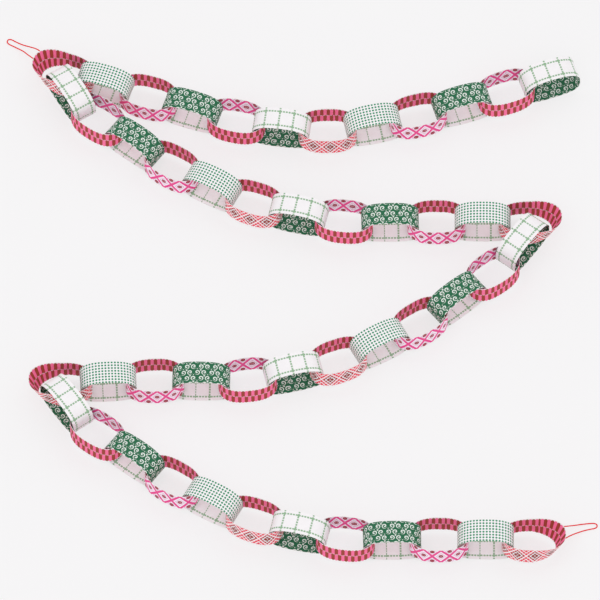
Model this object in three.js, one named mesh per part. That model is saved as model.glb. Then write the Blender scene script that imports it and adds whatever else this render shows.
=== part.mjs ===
// Paper chain garland: 48 rings of glued paper strip, each passed through the one before it,
// laid out in four zig-zag rows, with a thin hanging loop of cord at two of the end rings.
// Units are millimetres, +Z is up and the rings stand on Z = 0.

import * as THREE from 'three';

// --- Driving dimensions ---------------------------------------------------------------

const STRIP_WIDTH = 30;
const STRIP_LENGTH = 210;
const GLUE_LAP = 15;
const PAPER = 0.4;
const LOOP_LENGTH = STRIP_LENGTH - GLUE_LAP;
const PITCH = 58;

// A standing ring is squarer below, where its neighbours' upright walls push out its corners,
// than at its crown. The flat rings hang a little below its middle.
const STANDING = { flatness: 0.62, squareness: 3.3, crown: 2.5 };
const STANDING_TALL = { flatness: 0.67, squareness: 3.3, crown: 2.5 };
const FLAT = { flatness: 0.635, squareness: 2.5, crown: 2.5 };
const FLAT_END = { flatness: 0.575, squareness: 2.4, crown: 2.4 };
const SAG = 1.4;
const OUTLINE_STEPS = 32;
const CURVE_SAMPLES = 1440;

// The last flat ring of a row is held at one end only. Its free end wall leans out, about a line
// this far above mid width, and the ring leans back a little.
const END_LEAN = Math.tan(THREE.MathUtils.degToRad(23));
const BACK_LEAN = Math.tan(THREE.MathUtils.degToRad(3));
const LEAN_ABOUT = 7;

const CORD_RADIUS = 0.75;
const CORD_SIDES = 8;
const CORD_STEPS = 40;

const colour = {
  lattice: 0xe8b8b4,
  diamonds: 0xeac3d8,
  dots: 0xc9dccf,
  stripes: 0xc85a6a,
  curls: 0x3f7a5b,
  grid: 0xeef0ec,
  cord: 0xd21f26,
};

// --- Layout ---------------------------------------------------------------------------

// The middle of the rings' footprint in the layout below. The whole part is moved to put it
// on the origin.
const LAYOUT_MIDDLE = { x: 7.35, y: 11.58 };

// Each row is a smooth line on the table through a few points, in the order of the chain.
const rows = [
  {
    first: 1,
    count: 12,
    points: [[314, 336], [201, 298], [89, 269], [33, 261], [-79, 275], [-189, 309], [-297, 344]],
  },
  {
    first: 14,
    count: 11,
    points: [[-254, 278], [-157, 207], [-55, 155], [56, 130], [170, 129], [289, 128]],
  },
  {
    first: 26,
    count: 11,
    points: [[241, 55], [146, -19], [44, -72], [-69, -98], [-182, -99], [-297, -104]],
  },
  {
    first: 38,
    count: 11,
    points: [[-252, -174], [-153, -246], [-51, -299], [60, -324], [174, -325], [289, -326]],
  },
];

// Where one row turns into the next, a standing ring takes in the front wall of the last ring.
const turns = [
  { link: 13, x: -288.3, y: 314.8, yaw: -58.8, roll: -1.6 },
  { link: 25, x: 278.7, y: 100.1, yaw: 53.2, roll: -0.5 },
  { link: 37, x: -290.4, y: -131.7, yaw: -54.4, roll: -0.4 },
];

// Each hanging loop leaves the free end wall of its ring, lies on the table and comes back.
const cords = {
  hanging_cord_left: [
    [-320.7, 364.3, 18], [-322.7, 367, 17.2], [-324.8, 372.8, 16.6], [-328, 381, 15.2],
    [-333.4, 387, 11.4], [-340, 392, 6.8], [-351, 398.6, 1.8], [-359.2, 403.3, 0.9],
    [-364.5, 406.3, 0.9], [-367.9, 406.3, 0.9], [-369.6, 403.6, 0.9], [-368.4, 400.6, 0.9],
    [-359.4, 395, 1.2], [-349.6, 387.4, 4.6], [-342.4, 378, 10.4], [-336.4, 370.8, 14.6],
    [-332, 366, 16.2], [-328.7, 362.3, 17], [-326.15, 360.1, 18],
  ],
  hanging_cord_right: [
    [314.1, -311.2, 18], [316.2, -308.5, 17.2], [320, -305, 16], [325, -302.4, 14.6],
    [332, -299.2, 10.4], [340, -295.4, 5.2], [351, -291.6, 1.4], [360, -290.3, 0.9],
    [365.2, -290.2, 0.9], [368.4, -291.7, 0.9], [368.9, -294.6, 0.9], [366.8, -296.8, 0.9],
    [360.5, -298.4, 0.9], [354, -300.2, 1.2], [347, -303.6, 3], [339, -309.4, 7.6],
    [333.6, -314.6, 12.2], [329.5, -318.6, 14.8], [325.2, -321.3, 17], [321.95, -321.95, 18],
  ],
};

// The outside paper of the rings, in the order in which it repeats along the chain.
const paperOrder = ['grid', 'stripes', 'curls', 'diamonds', 'dots', 'lattice'];

// --- Outline of a glued ring ------------------------------------------------------------

function ovalPoint(angle, { flatness, squareness, crown }) {
  const c = Math.cos(angle);
  const s = Math.sin(angle);
  const power = 2 / (s > 0 ? crown : squareness);
  return new THREE.Vector2(
    Math.sign(c) * Math.abs(c) ** power,
    flatness * Math.sign(s) * Math.abs(s) ** power,
  );
}

// A closed oval scaled so that its length is that of the closed strip, with its running length.
function ovalTrack(oval) {
  const points = [];
  for (let i = 0; i <= CURVE_SAMPLES; i += 1) {
    const angle = -Math.PI / 2 + (2 * Math.PI * i) / CURVE_SAMPLES;
    points.push(ovalPoint(angle, oval));
  }
  const lengths = [0];
  for (let i = 1; i < points.length; i += 1) {
    lengths.push(lengths[i - 1] + points[i].distanceTo(points[i - 1]));
  }
  const scale = LOOP_LENGTH / lengths[CURVE_SAMPLES];
  return {
    points: points.map((point) => point.multiplyScalar(scale)),
    lengths: lengths.map((length) => length * scale),
  };
}

function pointOnTrack(track, distance) {
  const wrapped = ((distance % LOOP_LENGTH) + LOOP_LENGTH) % LOOP_LENGTH;
  let i = 1;
  while (i < CURVE_SAMPLES && track.lengths[i] < wrapped) i += 1;
  const span = track.lengths[i] - track.lengths[i - 1];
  const along = (wrapped - track.lengths[i - 1]) / span;
  const point = track.points[i - 1].clone().lerp(track.points[i], along);
  const tangent = track.points[i].clone().sub(track.points[i - 1]).normalize();
  return { point, normal: new THREE.Vector2(tangent.y, -tangent.x) };
}

// One face of the strip from one end of its turn to the other. The strip winds outward by its
// own thickness in a turn, so that its end lies on its start over the glue lap.
function facePoints(track, lapMiddle, start, side) {
  const points = [];
  for (let i = 0; i <= OUTLINE_STEPS; i += 1) {
    const run = start + (LOOP_LENGTH * i) / OUTLINE_STEPS;
    const { point, normal } = pointOnTrack(track, lapMiddle - GLUE_LAP / 2 + run);
    points.push(point.addScaledVector(normal, PAPER * (run / LOOP_LENGTH + side)));
  }
  return points;
}

function ringGeometry(oval, lapMiddle) {
  const track = ovalTrack(oval);
  const shape = new THREE.Shape(facePoints(track, lapMiddle, GLUE_LAP, 0.5));
  shape.holes.push(new THREE.Path(facePoints(track, lapMiddle, 0, -0.5)));
  const geometry = new THREE.ExtrudeGeometry(shape, { depth: STRIP_WIDTH, bevelEnabled: false });
  return geometry.translate(0, 0, -STRIP_WIDTH / 2);
}

// --- The two kinds of ring ----------------------------------------------------------------

// Lapped underneath, and turned so that the opening faces across the chain.
function standingRing(oval) {
  return ringGeometry(oval, 0).rotateX(Math.PI / 2);
}

// Lapped in the middle of the wall that faces +Y.
function flatRing(oval) {
  return ringGeometry(oval, LOOP_LENGTH / 2);
}

// Spreads the top of the free end outward and leans it back, and leaves the held end upright.
function leanEnd(geometry, end) {
  geometry.computeBoundingBox();
  const { max } = geometry.boundingBox;
  const position = geometry.attributes.position;
  for (let i = 0; i < position.count; i += 1) {
    const x = position.getX(i);
    const y = position.getY(i);
    const z = position.getZ(i);
    const towardEnd = Math.max(0, (end * x) / max.x);
    const spread = (z - LEAN_ABOUT) * END_LEAN * towardEnd;
    position.setX(i, x + (spread * x) / max.x);
    const fromHeldEnd = 0.5 + (0.5 * end * x) / max.x;
    position.setY(i, y + (spread * y) / max.y + z * BACK_LEAN * fromHeldEnd);
  }
  return geometry;
}

function heightToStand(geometry) {
  geometry.computeBoundingBox();
  return -geometry.boundingBox.min.z;
}

const standHeight = heightToStand(standingRing(STANDING));
const tallHeight = heightToStand(standingRing(STANDING_TALL));

// --- Placing the rings ----------------------------------------------------------------------

// The yaw keeps each ring's own +Y side away from the front of the layout.
function yawOf(direction) {
  return Math.atan(direction.y / direction.x);
}

function rowPlaces({ first, count, points }) {
  const line = new THREE.CatmullRomCurve3(points.map(([x, y]) => new THREE.Vector3(x, y, 0)));
  line.arcLengthDivisions = 600;
  const length = line.getLength();
  const places = [];
  for (let i = 0; i < count; i += 1) {
    const along = Math.min(1, (i * PITCH) / length);
    const point = line.getPointAt(along);
    places.push({ link: first + i, x: point.x, y: point.y, yaw: yawOf(line.getTangentAt(along)) });
  }
  return places;
}

// The last flat ring of each row, with the side on which the row ends.
const endLinks = { 12: -1, 24: 1, 36: -1, 48: 1 };

function paperOf(link) {
  return paperOrder[(link - 1) % paperOrder.length];
}

function isTall(link) {
  return paperOf(link) === 'dots';
}

function placedRing({ link, x, y, yaw, roll = 0 }) {
  const standing = link % 2 === 1;
  if (standing) {
    const ring = standingRing(isTall(link) ? STANDING_TALL : STANDING).rotateX(-roll).rotateZ(yaw);
    return ring.translate(x, y, heightToStand(ring));
  }
  const end = endLinks[link];
  const ring = end ? leanEnd(flatRing(FLAT_END), end) : flatRing(FLAT);
  const besideTall = isTall(link - 1) || isTall(link + 1);
  const height = besideTall ? THREE.MathUtils.lerp(standHeight, tallHeight, 0.5) : standHeight;
  return ring.rotateZ(yaw).translate(x, y, height - SAG);
}

function matt(color, roughness) {
  return new THREE.MeshStandardMaterial({ color, roughness, metalness: 0 });
}

function linkMesh(place) {
  const paper = paperOf(place.link);
  const mesh = new THREE.Mesh(placedRing(place), matt(colour[paper], 0.8));
  mesh.name = `link_${String(place.link).padStart(2, '0')}_${paper}`;
  return mesh;
}

const turnPlaces = turns.map((turn) => ({
  ...turn,
  yaw: THREE.MathUtils.degToRad(turn.yaw),
  roll: THREE.MathUtils.degToRad(turn.roll),
}));

// --- Hanging loops --------------------------------------------------------------------------

function cordMesh([name, points]) {
  const path = new THREE.CatmullRomCurve3(points.map(([x, y, z]) => new THREE.Vector3(x, y, z)));
  const section = new THREE.Shape();
  for (let i = 0; i < CORD_SIDES; i += 1) {
    const angle = (2 * Math.PI * i) / CORD_SIDES;
    const corner = [CORD_RADIUS * Math.cos(angle), CORD_RADIUS * Math.sin(angle)];
    if (i === 0) section.moveTo(...corner);
    else section.lineTo(...corner);
  }
  const geometry = new THREE.ExtrudeGeometry(section, {
    steps: CORD_STEPS,
    extrudePath: path,
    bevelEnabled: false,
  });
  const mesh = new THREE.Mesh(geometry, matt(colour.cord, 0.6));
  mesh.name = name;
  return mesh;
}

// --- The part -------------------------------------------------------------------------------

const group = new THREE.Group();
group.name = 'paper_chain_garland';
const places = [...rows.flatMap(rowPlaces), ...turnPlaces].sort((a, b) => a.link - b.link);
for (const place of places) group.add(linkMesh(place));
for (const cord of Object.entries(cords)) group.add(cordMesh(cord));
for (const mesh of group.children) mesh.geometry.translate(-LAYOUT_MIDDLE.x, -LAYOUT_MIDDLE.y, 0);

export default group;
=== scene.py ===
"""Paper chain garland: printed paper rings linked in four zig-zag rows, a red cord loop at two ends."""
import math

import bpy
import numpy as np
from mathutils import Matrix, Vector


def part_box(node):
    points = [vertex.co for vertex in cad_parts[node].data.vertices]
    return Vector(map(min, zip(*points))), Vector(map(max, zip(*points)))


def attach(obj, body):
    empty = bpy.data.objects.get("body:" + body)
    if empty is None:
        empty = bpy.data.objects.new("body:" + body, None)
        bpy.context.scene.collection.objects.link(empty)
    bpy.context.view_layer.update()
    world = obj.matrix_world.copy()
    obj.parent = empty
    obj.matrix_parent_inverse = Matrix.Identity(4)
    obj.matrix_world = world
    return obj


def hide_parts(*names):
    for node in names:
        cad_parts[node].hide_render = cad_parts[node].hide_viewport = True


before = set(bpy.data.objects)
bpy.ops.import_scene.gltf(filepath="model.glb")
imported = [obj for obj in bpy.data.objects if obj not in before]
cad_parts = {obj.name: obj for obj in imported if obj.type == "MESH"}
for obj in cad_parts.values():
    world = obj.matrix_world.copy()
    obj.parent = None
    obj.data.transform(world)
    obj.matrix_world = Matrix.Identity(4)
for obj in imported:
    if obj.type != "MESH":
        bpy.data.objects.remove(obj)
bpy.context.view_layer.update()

MM = 0.001

# --- Camera -------------------------------------------------------------------------------

CAMERA_TILT = math.radians(60.5)
CAMERA_TARGET = Vector((-7.35, 5.65, 21.2)) * MM
FRAME_WIDTH = 750 * MM
LENS = 1000.0
SENSOR = 36.0


def make_camera():
    data = bpy.data.cameras.new("camera")
    data.lens = LENS
    data.sensor_width = SENSOR
    data.clip_end = 200
    camera = bpy.data.objects.new("camera", data)
    bpy.context.scene.collection.objects.link(camera)
    distance = FRAME_WIDTH * LENS / SENSOR
    back = Vector((0, -math.cos(CAMERA_TILT), math.sin(CAMERA_TILT)))
    camera.location = CAMERA_TARGET + back * distance
    camera.rotation_euler = (math.pi / 2 - CAMERA_TILT, 0, 0)
    bpy.context.scene.camera = camera


make_camera()

# --- Layout, in millimetres -----------------------------------------------------------------

LAYOUT_MIDDLE = Vector((7.35, 11.58, 0))
PITCH = 58
SLOPE_STEP = 0.5

# The first link, the number of links and the line of each row, in the order of the chain.
ROWS = (
    (1, 12, ((314, 336), (201, 298), (89, 269), (33, 261), (-79, 275), (-189, 309), (-297, 344))),
    (14, 11, ((-254, 278), (-157, 207), (-55, 155), (56, 130), (170, 129), (289, 128))),
    (26, 11, ((241, 55), (146, -19), (44, -72), (-69, -98), (-182, -99), (-297, -104))),
    (38, 11, ((-252, -174), (-153, -246), (-51, -299), (60, -324), (174, -325), (289, -326))),
)
# The rings between two rows: x, y, yaw and roll.
TURNS = {
    13: (-288.3, 314.8, -58.8, -1.6),
    25: (278.7, 100.1, 53.2, -0.5),
    37: (-290.4, -131.7, -54.4, -0.4),
}
CORDS = {
    "hanging_cord_left": (
        (-320.7, 364.3, 18), (-322.7, 367, 17.2), (-324.8, 372.8, 16.6), (-328, 381, 15.2),
        (-333.4, 387, 11.4), (-340, 392, 6.8), (-351, 398.6, 1.8), (-359.2, 403.3, 0.9),
        (-364.5, 406.3, 0.9), (-367.9, 406.3, 0.9), (-369.6, 403.6, 0.9), (-368.4, 400.6, 0.9),
        (-359.4, 395, 1.2), (-349.6, 387.4, 4.6), (-342.4, 378, 10.4), (-336.4, 370.8, 14.6),
        (-332, 366, 16.2), (-328.7, 362.3, 17), (-326.15, 360.1, 18),
    ),
    "hanging_cord_right": (
        (314.1, -311.2, 18), (316.2, -308.5, 17.2), (320, -305, 16), (325, -302.4, 14.6),
        (332, -299.2, 10.4), (340, -295.4, 5.2), (351, -291.6, 1.4), (360, -290.3, 0.9),
        (365.2, -290.2, 0.9), (368.4, -291.7, 0.9), (368.9, -294.6, 0.9), (366.8, -296.8, 0.9),
        (360.5, -298.4, 0.9), (354, -300.2, 1.2), (347, -303.6, 3), (339, -309.4, 7.6),
        (333.6, -314.6, 12.2), (329.5, -318.6, 14.8), (325.2, -321.3, 17), (321.95, -321.95, 18),
    ),
}


def smooth_line(points, steps=60):
    """A centripetal Catmull-Rom curve through the points, as an array of close points."""
    points = np.array(points, float)
    ends = 2 * points[[0, -1]] - points[[1, -2]]
    points = np.vstack([ends[:1], points, ends[1:]])
    t = np.linspace(0, 1, steps, endpoint=False)[:, None]
    line = []
    for p0, p1, p2, p3 in zip(points, points[1:], points[2:], points[3:]):
        a, b, c = (math.sqrt(np.linalg.norm(q - p)) for p, q in ((p0, p1), (p1, p2), (p2, p3)))
        m1 = b * ((p1 - p0) / a - (p2 - p0) / (a + b) + (p2 - p1) / b)
        m2 = b * ((p2 - p1) / b - (p3 - p1) / (b + c) + (p3 - p2) / c)
        line.append(
            p1 + m1 * t + (3 * (p2 - p1) - 2 * m1 - m2) * t**2 + (2 * (p1 - p2) + m1 + m2) * t**3
        )
    return np.vstack([*line, points[-2:-1]])


def run_lengths(line):
    return np.concatenate([[0], np.cumsum(np.linalg.norm(np.diff(line, axis=0), axis=1))])


def resample(line, distances):
    lengths = run_lengths(line)
    return np.stack([np.interp(distances, lengths, column) for column in line.T], axis=1)


def row_places(first, count, points):
    """(x, y, yaw) of each ring of a row. The yaw keeps a ring's +Y side away from the front."""
    line = smooth_line(points, 200)
    along = np.minimum(np.arange(count) * PITCH, run_lengths(line)[-1])
    here = resample(line, along)
    ahead = resample(line, along + SLOPE_STEP)
    behind = resample(line, along - SLOPE_STEP)
    slope = ahead - behind
    yaws = np.arctan(slope[:, 1] / slope[:, 0])
    return {first + i: (*here[i], yaws[i], 0.0) for i in range(count)}


def all_places():
    places = {}
    for row in ROWS:
        places.update(row_places(*row))
    for link, (x, y, yaw, roll) in TURNS.items():
        places[link] = (x, y, math.radians(yaw), math.radians(roll))
    return places


# --- Material nodes ---------------------------------------------------------------------------


class Value:
    """A number in a node tree. Arithmetic on it adds the nodes."""

    def __init__(self, tree, socket):
        self.tree = tree
        self.socket = socket

    def math(self, operation, *others, clamp=False):
        node = self.tree.nodes.new("ShaderNodeMath")
        node.operation = operation
        node.use_clamp = clamp
        for socket, value in zip(node.inputs, (self, *others)):
            connect(self.tree, value, socket)
        return Value(self.tree, node.outputs[0])

    def __add__(self, other):
        return self.math("ADD", other)

    def __sub__(self, other):
        return self.math("SUBTRACT", other)

    def __mul__(self, other):
        return self.math("MULTIPLY", other)

    def __truediv__(self, other):
        return self.math("DIVIDE", other)

    def __abs__(self):
        return self.math("ABSOLUTE")

    def over(self, limit):
        return self.math("GREATER_THAN", limit)

    def most(self, other):
        return self.math("MAXIMUM", other)

    def repeat(self, period):
        """The distance from the nearest multiple of the period, signed."""
        return self.math("WRAP", period / 2, -period / 2)

    def within(self, half_width, soft=0.2):
        """1 where the value lies within half_width of zero, with a soft edge."""
        return (self.math("ABSOLUTE") * (-1 / soft) + (half_width / soft + 0.5)).math(
            "ADD", 0.0, clamp=True
        )


def connect(tree, value, socket):
    if isinstance(value, Value):
        tree.links.new(value.socket, socket)
    elif isinstance(value, bpy.types.NodeSocket):
        tree.links.new(value, socket)
    else:
        socket.default_value = value


def hypotenuse(x, y):
    return (x * x + y * y).math("SQRT")


def linear(rgb):
    """A colour seen as this sRGB triple, 0 to 255, in linear light."""
    parts = [c / 255 for c in rgb]
    return (*[c / 12.92 if c <= 0.04045 else ((c + 0.055) / 1.055) ** 2.4 for c in parts], 1.0)


def mix(tree, factor, first, second):
    """The first colour where the factor is 0 and the second where it is 1."""
    node = tree.nodes.new("ShaderNodeMix")
    node.data_type = "RGBA"
    connect(tree, factor, node.inputs[0])
    connect(tree, first, node.inputs[6])
    connect(tree, second, node.inputs[7])
    return node.outputs[2]


def noise(tree, vector, scale, detail=2.0, stretch=(1, 1, 1)):
    """Noise from 0 to 1 over coordinates in millimetres."""
    mapping = tree.nodes.new("ShaderNodeMapping")
    mapping.inputs["Scale"].default_value = stretch
    connect(tree, vector, mapping.inputs["Vector"])
    node = tree.nodes.new("ShaderNodeTexNoise")
    node.inputs["Scale"].default_value = scale
    node.inputs["Detail"].default_value = detail
    connect(tree, mapping.outputs[0], node.inputs["Vector"])
    return Value(tree, node.outputs[0])


# --- The six printed designs ----------------------------------------------------------------
# Each one is drawn on the strip in millimetres: u along it, and v across it from its middle.

STRIP_WIDTH = 30.0
EDGE = STRIP_WIDTH / 2

WHITE = linear((246, 243, 245))
CORAL = linear((238, 58, 82))
BRICK = linear((150, 40, 34))
LILAC = linear((247, 240, 251))
ROSE = linear((240, 110, 170))
BERRY = linear((158, 36, 58))
BLUSH = linear((236, 170, 186))
PINK = linear((238, 70, 146))
LEAF_GREEN = linear((42, 140, 98))
CANDY = linear((255, 116, 164))
RUSSET = linear((160, 64, 44))
RED = linear((196, 62, 84))
OYSTER = linear((222, 206, 206))
FIR = linear((34, 104, 70))
FROST = linear((232, 238, 232))
SAGE = linear((148, 182, 148))

LATTICE_HALF = 10.8
LATTICE_LINE = 7.5
LATTICE_HEART = 12
TRELLIS_HALF = 10.75
TRELLIS_EDGE_MOTIF = 11.4
DOT_STEP = 4
BAR_WIDTH = 4.1
CURL_STEP = 8.8
CURL_ROW = 8.2
CURL_TURN = 2.9
CURL_REACH = 3.5
CHECK_STEP = 18
CHECK_LINE = 10
CHECK_INK = 1.15
DASH_STEP = 3.6
DASH = 1.3


def lattice_print(tree, u, v):
    """Broken lines in nested diamonds, coral outside and brown-red towards the heart of each."""
    x = u.repeat(2 * LATTICE_HALF)
    rising = abs(x) * (EDGE / LATTICE_HALF) + abs(v)
    falling = abs(x) * (EDGE / LATTICE_HALF) - abs(v)
    lines = (rising + 3.2).repeat(LATTICE_LINE).within(2.6)
    cuts = (falling + 1.0).repeat(LATTICE_LINE).within(0.55)
    core = rising.within(2.2)
    outline = (rising - EDGE).within(1.3)
    mark = lines.most(core).math("SUBTRACT", outline.most(cuts), clamp=True)
    inks = mix(tree, rising.within(LATTICE_HEART), CORAL, BRICK)
    return mix(tree, mark, WHITE, inks)


def diamonds_print(tree, u, v):
    """A trellis of pink bands with a small dark motif in each diamond."""
    x = u.repeat(2 * TRELLIS_HALF)
    trellis = abs(x) * (EDGE / TRELLIS_HALF) + abs(v) - EDGE
    outer = trellis.over(0)
    centre_x = abs(x) - outer * TRELLIS_HALF
    centre_y = abs(v) - outer * TRELLIS_EDGE_MOTIF
    motif = hypotenuse(centre_x, centre_y * 0.85).within(3.0)
    eye = hypotenuse(abs(centre_x) - 0.9, centre_y - 0.6).within(0.5)
    ring = (abs(centre_x) * (EDGE / TRELLIS_HALF) + abs(centre_y) - 7.6).within(0.7)
    colour = mix(tree, ring * 0.7, LILAC, ROSE)
    colour = mix(tree, motif, colour, BERRY)
    colour = mix(tree, eye, colour, BLUSH)
    return mix(tree, trellis.within(2.8), colour, PINK)


def dots_print(tree, u, v):
    """Rows of rounded square dots."""
    x = u.repeat(DOT_STEP)
    y = (v + DOT_STEP / 2).repeat(DOT_STEP)
    square = abs(x).most(abs(y))
    dot = (square * 0.6 + hypotenuse(x, y) * 0.4).within(1.25, 0.25)
    return mix(tree, dot, WHITE, LEAF_GREEN)


def stripes_print(tree, u, v):
    """Two rows of bars in two reds, half a step apart, with a thin dashed line between them."""
    row = v.over(0)
    x = (u + row * BAR_WIDTH + BAR_WIDTH / 2).repeat(2 * BAR_WIDTH)
    bar = abs(x) - BAR_WIDTH / 2
    notch = (abs(v) + bar.within(0.7, 0.9) * 1.3).over(EDGE - 0.3)
    dash = v.within(0.5) * (u + 1).repeat(BAR_WIDTH).within(1.35)
    colour = mix(tree, bar.over(0), CANDY, RUSSET)
    colour = mix(tree, bar.within(0.16), colour, RED)
    colour = mix(tree, notch, colour, WHITE)
    return mix(tree, dash, colour, OYSTER)


def volute(x, y):
    """A spiral of one and a half turns, 7 mm across."""
    radius = hypotenuse(x, y)
    arm = radius - y.math("ARCTAN2", x) * (CURL_TURN / (2 * math.pi))
    return arm.repeat(CURL_TURN).within(0.66) * radius.within(CURL_REACH)


def curls_print(tree, u, v):
    """Facing pairs of white spirals on dark green, in staggered rows."""
    row = (v / CURL_ROW).math("ROUND").math("ABSOLUTE")
    mirrored = (u + row * (CURL_STEP / 2)).math("PINGPONG", CURL_STEP)
    x = mirrored * -1 + CURL_STEP / 2
    y = v.repeat(CURL_ROW)
    leaf = hypotenuse(mirrored * 0.8, y + 3.2).within(0.9)
    bud = hypotenuse(mirrored - CURL_STEP, y - 3.4).within(0.6)
    return mix(tree, volute(x, y).most(leaf).most(bud), FIR, FROST)


def grid_print(tree, u, v):
    """A wide check of dashed lines."""
    column = u.repeat(CHECK_STEP)
    line = abs(v) - CHECK_LINE
    along = line.within(CHECK_INK) * (u + 1).repeat(DASH_STEP).within(DASH)
    across = column.within(CHECK_INK) * v.repeat(DASH_STEP).within(DASH)
    knots = hypotenuse(column, line).within(1.7)
    return mix(tree, along.most(across).most(knots), WHITE, SAGE)


PRINTS = {
    "lattice": lattice_print,
    "diamonds": diamonds_print,
    "dots": dots_print,
    "stripes": stripes_print,
    "curls": curls_print,
    "grid": grid_print,
}


# --- Materials --------------------------------------------------------------------------------

EDGE_SHADE = linear((214, 206, 202))
EDGE_PALE = linear((246, 243, 240))
CORD_RED = linear((242, 4, 18))
# Painted shade: the darker red laid into the cord's grooves between its plies.
CORD_GROOVE_PAINTED_SHADE = linear((196, 2, 12))
CORD_FLUFF = linear((236, 40, 48))
PAPER_RELIEF = 0.05 * MM
CORD_RELIEF = 0.08 * MM
FLOOR_SHADE = linear((243, 242, 243))
FLOOR_PALE = linear((245, 244, 245))
FLOOR_GREY = 0.25
FLOOR_GLOW = 0.74


def new_tree(name):
    material = bpy.data.materials.new(name)
    material.use_nodes = True
    return material, material.node_tree, material.node_tree.nodes["Principled BSDF"]


def strip_coordinates(tree):
    """The place along and across the strip, in millimetres."""
    node = tree.nodes.new("ShaderNodeUVMap")
    node.uv_map = "strip"
    split = tree.nodes.new("ShaderNodeSeparateXYZ")
    tree.links.new(node.outputs[0], split.inputs[0])
    return node.outputs[0], Value(tree, split.outputs[0]), Value(tree, split.outputs[1])


def add_paper_surface(tree, shader, vector, colour):
    """Uncoated card: faint cloudiness in the ink, fine fibres in the gloss and the relief."""
    cloud = noise(tree, vector, 0.12, 3)
    fibre = noise(tree, vector, 1.6, 4, (1, 0.35, 1))
    grain = noise(tree, vector, 5.5, 2)
    shade = (cloud - 0.5) * 0.10 + (fibre - 0.5) * 0.10 + 1.0
    bright = tree.nodes.new("ShaderNodeMix")
    bright.data_type = "RGBA"
    bright.blend_type = "MULTIPLY"
    bright.inputs[0].default_value = 1.0
    connect(tree, colour, bright.inputs[6])
    gray = tree.nodes.new("ShaderNodeCombineColor")
    for socket in gray.inputs:
        connect(tree, shade, socket)
    tree.links.new(gray.outputs[0], bright.inputs[7])
    connect(tree, bright.outputs[2], shader.inputs["Base Color"])
    connect(tree, fibre * 0.14 + grain * 0.08 + 0.56, shader.inputs["Roughness"])
    bump = tree.nodes.new("ShaderNodeBump")
    bump.inputs["Strength"].default_value = 0.25
    bump.inputs["Distance"].default_value = PAPER_RELIEF
    connect(tree, fibre * 0.6 + grain * 0.4, bump.inputs["Height"])
    tree.links.new(bump.outputs[0], shader.inputs["Normal"])
    shader.inputs["Specular IOR Level"].default_value = 0.3


def paper_material(name):
    material, tree, shader = new_tree("paper_" + name)
    vector, u, v = strip_coordinates(tree)
    wander_u = (noise(tree, vector, 0.35) - 0.5) * 0.5
    wander_v = (noise(tree, vector, 0.3, 2, (1, 1.3, 1)) - 0.5) * 0.5
    colour = PRINTS[name](tree, u + wander_u, v + wander_v)
    add_paper_surface(tree, shader, vector, colour)
    return material


def edge_material():
    """The cut edge of the card, where its white core and pressed fibres show."""
    material, tree, shader = new_tree("paper_edge")
    vector, _, _ = strip_coordinates(tree)
    layers = noise(tree, vector, 2.2, 3, (0.3, 6, 1))
    colour = mix(tree, layers, EDGE_SHADE, EDGE_PALE)
    add_paper_surface(tree, shader, vector, colour)
    return material


def cord_material():
    """Twisted red thread, with painted shade darkening the grooves between its plies."""
    material, tree, shader = new_tree("cord")
    vector, u, v = strip_coordinates(tree)
    ply = (u * 0.9 + v * 3).math("FRACT")
    groove_shade_mask = (ply - 0.5).math("ABSOLUTE") * 2
    strand = noise(tree, vector, 3.5, 3, (1, 4, 1))
    # Painted shade: the red darkens towards the grooves between the plies, where shade falls.
    colour = mix(tree, groove_shade_mask.math("POWER", 3.0), CORD_RED, CORD_GROOVE_PAINTED_SHADE)
    colour = mix(tree, strand * 0.15, colour, CORD_FLUFF)
    connect(tree, colour, shader.inputs["Base Color"])
    connect(tree, strand * 0.2 + 0.6, shader.inputs["Roughness"])
    shader.inputs["Specular IOR Level"].default_value = 0.1
    bump = tree.nodes.new("ShaderNodeBump")
    bump.inputs["Distance"].default_value = CORD_RELIEF
    connect(tree, strand, bump.inputs["Height"])
    tree.links.new(bump.outputs[0], shader.inputs["Normal"])
    return material


def floor_material():
    """A pale surface lit from within as well, so that shadows on it stay faint."""
    material, tree, shader = new_tree("floor")
    place = tree.nodes.new("ShaderNodeTexCoord").outputs["Object"]
    tone = noise(tree, place, 3.0, 2)
    colour = mix(tree, tone, FLOOR_SHADE, FLOOR_PALE)
    connect(tree, colour, shader.inputs["Emission Color"])
    shader.inputs["Emission Strength"].default_value = FLOOR_GLOW
    shader.inputs["Base Color"].default_value = (FLOOR_GREY, FLOOR_GREY, FLOOR_GREY, 1)
    shader.inputs["Roughness"].default_value = 0.9
    shader.inputs["Specular IOR Level"].default_value = 0.1
    return material


# --- Pieces -----------------------------------------------------------------------------------

SHARP_ANGLE = math.radians(35)


def new_object(name, vertices, faces, materials, material_index, strip_uv):
    """A mesh object in metres from millimetre points, with strip coordinates on its corners."""
    mesh = bpy.data.meshes.new(name)
    mesh.from_pydata((np.asarray(vertices) * MM).tolist(), [], faces)
    for material in materials:
        mesh.materials.append(material)
    mesh.polygons.foreach_set("material_index", material_index)
    mesh.uv_layers.new(name="strip").data.foreach_set("uv", np.asarray(strip_uv, np.float32).ravel())
    mesh.polygons.foreach_set("use_smooth", [True] * len(mesh.polygons))
    mesh.set_sharp_from_angle(angle=SHARP_ANGLE)
    piece = bpy.data.objects.new(name, mesh)
    bpy.context.scene.collection.objects.link(piece)
    return piece


STRIP_LENGTH = 210.0
GLUE_LAP = 15.0
LAYER = 0.4
CARD = 0.32
LOOP_LENGTH = STRIP_LENGTH - GLUE_LAP
ALONG = 168
ACROSS = 6
OVAL_POINTS = 1441
TANGENT_STEP = 0.4

# Flatness, squareness below the middle and squareness above it, of each kind of ring.
STANDING = (0.62, 3.3, 2.5)
STANDING_TALL = (0.67, 3.3, 2.5)
FLAT = (0.635, 2.5, 2.5)
FLAT_END = (0.575, 2.4, 2.4)

# How far paper strays from an even band: slow and quick waves, cupping, twist, and the loose end.
SLOW_WAVE = 0.07
QUICK_WAVE = 0.05
CUPPING = 0.16
TWIST = 0.09
LOOSE_LIFT = 0.22
LOOSE_LENGTH = 3

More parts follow.
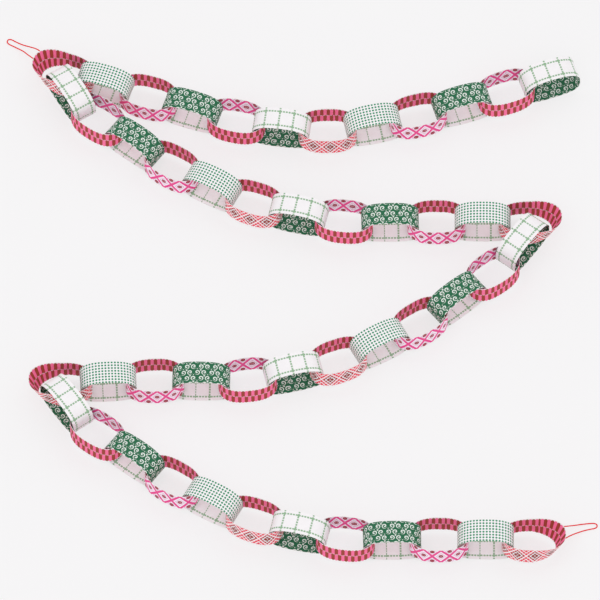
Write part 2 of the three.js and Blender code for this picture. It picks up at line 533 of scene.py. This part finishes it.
# The end rings lean outward at their free end: which end is free, and how far it leans.
END_LINKS = {12: -1, 24: 1, 36: -1, 48: 1}
END_LEAN = math.tan(math.radians(23))
BACK_LEAN = math.tan(math.radians(3))
LEAN_ABOUT = 7.0

OUTSIDE = ("grid", "stripes", "curls", "diamonds", "dots", "lattice")
INSIDE = {
    "grid": "curls",
    "stripes": "diamonds",
    "curls": "grid",
    "diamonds": "stripes",
    "dots": "grid",
    "lattice": "stripes",
}


def oval_line(flatness, squareness, crown):
    """A closed oval, counter-clockwise from its lowest point, as long as the closed strip."""
    angle = np.linspace(-math.pi / 2, 1.5 * math.pi, OVAL_POINTS)
    c, s = np.cos(angle), np.sin(angle)
    power = 2 / np.where(s > 0, crown, squareness)
    line = np.stack([np.sign(c) * abs(c) ** power, flatness * np.sign(s) * abs(s) ** power], axis=1)
    return line * (LOOP_LENGTH / run_lengths(line)[-1])


def strip_faces(oval, lap_middle, link):
    """The outer and inner face of a glued strip, each as ALONG + 1 rows of ACROSS + 1 points."""
    line = oval_line(*oval)
    run = np.linspace(0, STRIP_LENGTH, ALONG + 1)
    place = (lap_middle - GLUE_LAP / 2 + run) % LOOP_LENGTH
    middle = resample(line, place)
    ahead = resample(line, (place + TANGENT_STEP) % LOOP_LENGTH)
    behind = resample(line, (place - TANGENT_STEP) % LOOP_LENGTH)
    tangent = ahead - behind
    tangent /= np.linalg.norm(tangent, axis=1)[:, None]
    normal = np.stack([tangent[:, 1], -tangent[:, 0]], axis=1)
    v = np.linspace(-STRIP_WIDTH / 2, STRIP_WIDTH / 2, ACROSS + 1)
    turn = 2 * math.pi * place / LOOP_LENGTH
    phase = link * 2.4
    wave = SLOW_WAVE * np.sin(3 * turn + phase) + QUICK_WAVE * np.sin(5 * turn - phase)
    lift = LOOSE_LIFT * np.clip((run - STRIP_LENGTH + LOOSE_LENGTH) / LOOSE_LENGTH, 0, 1) ** 2
    cupping = CUPPING * (v / v[-1]) ** 2
    twist = TWIST * np.outer(np.sin(2 * turn + phase), v / v[-1])
    layer = (LAYER * run / LOOP_LENGTH + wave + lift)[:, None] + cupping[None, :] + twist
    faces = []
    for side in (CARD / 2, -CARD / 2):
        out = (layer + side)[:, :, None] * normal[:, None, :]
        flat = middle[:, None, :] + out
        width = np.broadcast_to(v[None, :, None], flat.shape[:2] + (1,))
        faces.append(np.concatenate([flat, width], axis=2))
    return faces, run, v


def lean_end(points, end):
    """Spreads the top of the free end outward and leans it back, and leaves the held end upright."""
    x, y, z = points[..., 0], points[..., 1], points[..., 2]
    reach_x, reach_y = x.max(), y.max()
    spread = (z - LEAN_ABOUT) * END_LEAN * np.maximum(0, end * x / reach_x)
    moved_y = y + spread * y / reach_y + z * BACK_LEAN * (0.5 + 0.5 * end * x / reach_x)
    return np.stack([x + spread * x / reach_x, moved_y, z], axis=-1)


def ring_points(link, place):
    """Both faces of a ring's strip, placed in the layout."""
    x, y, yaw, roll = place
    node_low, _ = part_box(node_name(link))
    move = Matrix.Rotation(yaw, 4, "Z")
    if link % 2:
        oval = STANDING_TALL if outside(link) == "dots" else STANDING
        faces, run, v = strip_faces(oval, 0.0, link)
        points = np.array(faces)
        move = move @ Matrix.Rotation(-roll, 4, "X") @ Matrix.Rotation(math.pi / 2, 4, "X")
    else:
        oval = FLAT_END if link in END_LINKS else FLAT
        faces, run, v = strip_faces(oval, LOOP_LENGTH / 2, link)
        points = np.array(faces)
        if link in END_LINKS:
            points = lean_end(points, END_LINKS[link])
    turned = points @ np.array(move.to_3x3()).T
    height = node_low[2] / MM - turned[..., 2].min()
    return turned + np.array([x, y, 0]) - np.array(LAYOUT_MIDDLE) + [0, 0, height], run, v


def outside(link):
    return OUTSIDE[(link - 1) % len(OUTSIDE)]


def node_name(link):
    return f"link_{link:02d}_{outside(link)}"


def corner_id(face, i, j):
    return (face * (ALONG + 1) + i) * (ACROSS + 1) + j


def wall_between(first, second):
    """The corners of a cut edge's face, from the outer face to the inner one."""
    return [corner_id(0, *first), corner_id(1, *first), corner_id(1, *second), corner_id(0, *second)]


def make_ring(link, place, papers, edge):
    """One ring: its two printed faces, its two long edges and the two cut ends of its strip."""
    points, run, v = ring_points(link, place)
    faces, index, uv = [], [], []

    def add(corners, material, places):
        faces.append(corners)
        index.append(material)
        uv.extend(places)

    for i in range(ALONG):
        for j in range(ACROSS):
            square = ((i, j), (i, j + 1), (i + 1, j + 1), (i + 1, j))
            places = [(run[a], v[b]) for a, b in square]
            add([corner_id(0, a, b) for a, b in reversed(square)], 0, places[::-1])
            add([corner_id(1, a, b) for a, b in square], 1, places)
        for j, turn in ((0, 1), (ACROSS, -1)):
            places = [(run[i], 0), (run[i], CARD), (run[i + 1], CARD), (run[i + 1], 0)]
            add(wall_between((i, j), (i + 1, j))[::-turn], 2, places[::-turn])
    for i, turn in ((0, 1), (ALONG, -1)):
        for j in range(ACROSS):
            corners = [corner_id(0, i, j), corner_id(0, i, j + 1)]
            corners += [corner_id(1, i, j + 1), corner_id(1, i, j)]
            places = [(v[j], 0), (v[j + 1], 0), (v[j + 1], CARD), (v[j], CARD)]
            add(corners[::-turn], 2, places[::-turn])
    name = outside(link)
    piece = new_object(
        f"ring_{link:02d}_{name}",
        points.reshape(-1, 3),
        faces,
        (papers[name], papers[INSIDE[name]], edge),
        index,
        uv,
    )
    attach(piece, "root")
    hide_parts(node_name(link))


CORD_DIAMETER = 1.5
CORD_SIDES = 18
CORD_STEP = 0.35
PLIES = 3
PLY_PITCH = 3.4
PLY_DEPTH = 0.07


def frames_along(line):
    """Two unit normals at each point of a line, turned as little as possible from one to the next."""
    tangent = np.gradient(line, axis=0)
    tangent /= np.linalg.norm(tangent, axis=1)[:, None]
    side = np.cross(tangent[0], [0, 0, 1.0])
    sides = []
    for t in tangent:
        side = side - t * (side @ t)
        side /= np.linalg.norm(side)
        sides.append(side)
    sides = np.array(sides)
    return sides, np.cross(tangent, sides)


def make_cord(name, points, material):
    """A round cord of three twisted plies along its route."""
    line = smooth_line(points) - np.array(LAYOUT_MIDDLE)
    length = run_lengths(line)[-1]
    count = int(length / CORD_STEP)
    run = np.linspace(0, length, count + 1)
    line = resample(line, run)
    sides, ups = frames_along(line)
    angle = np.linspace(0, 2 * math.pi, CORD_SIDES, endpoint=False)
    twist = PLIES * (angle[None, :] - 2 * math.pi * run[:, None] / (PLIES * PLY_PITCH))
    radius = CORD_DIAMETER / 2 * (1 - PLY_DEPTH + PLY_DEPTH * np.cos(twist))
    out = np.cos(angle)[:, None] * sides[:, None, :] + np.sin(angle)[:, None] * ups[:, None, :]
    vertices = (line[:, None, :] + radius[:, :, None] * out).reshape(-1, 3)
    faces, uv = [], []
    for i in range(count):
        for k in range(CORD_SIDES):
            square = ((i, k), (i + 1, k), (i + 1, k + 1), (i, k + 1))
            faces.append([a * CORD_SIDES + b % CORD_SIDES for a, b in square][::-1])
            uv.extend([(run[a], b / CORD_SIDES) for a, b in square][::-1])
    for i, step in ((0, 1), (count, -1)):
        ring = list(range(CORD_SIDES))[::step]
        faces.append([i * CORD_SIDES + k for k in ring])
        uv.extend([(run[i], k / CORD_SIDES) for k in ring])
    piece = new_object(name + "_thread", vertices, faces, (material,), [0] * len(faces), uv)
    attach(piece, "root")
    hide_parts(name)


# --- The scene --------------------------------------------------------------------------------

FLOOR_REACH = 12.0
WORLD_STRENGTH = 0.86


def area_light(name, place, size, power):
    data = bpy.data.lights.new(name, "AREA")
    data.shape = "DISK"
    data.size = size
    data.energy = power
    light = bpy.data.objects.new(name, data)
    light.location = place
    light.rotation_euler = (-Vector(place)).to_track_quat("-Z", "Y").to_euler()
    bpy.context.scene.collection.objects.link(light)


def make_studio():
    world = bpy.data.worlds.new("studio")
    world.use_nodes = True
    background = world.node_tree.nodes["Background"]
    background.inputs["Color"].default_value = (1.0, 0.995, 1.0, 1)
    background.inputs["Strength"].default_value = WORLD_STRENGTH
    bpy.context.scene.world = world
    bpy.context.scene.view_settings.view_transform = "Standard"
    area_light("key", (-0.5, -0.9, 2.8), 2.6, 13)
    area_light("fill", (1.5, 1.2, 2.4), 2.4, 4)
    mesh = bpy.data.meshes.new("floor")
    corners = [(x * FLOOR_REACH, y * FLOOR_REACH, 0) for x, y in ((-1, -1), (1, -1), (1, 1), (-1, 1))]
    mesh.from_pydata(corners, [], [(0, 1, 2, 3)])
    mesh.materials.append(floor_material())
    floor = bpy.data.objects.new("floor", mesh)
    bpy.context.scene.collection.objects.link(floor)


def main():
    thread = cord_material()
    for name, points in CORDS.items():
        make_cord(name, points, thread)
    papers = {name: paper_material(name) for name in PRINTS}
    edge = edge_material()
    for link, place in sorted(all_places().items()):
        make_ring(link, place, papers, edge)
    make_studio()


main()
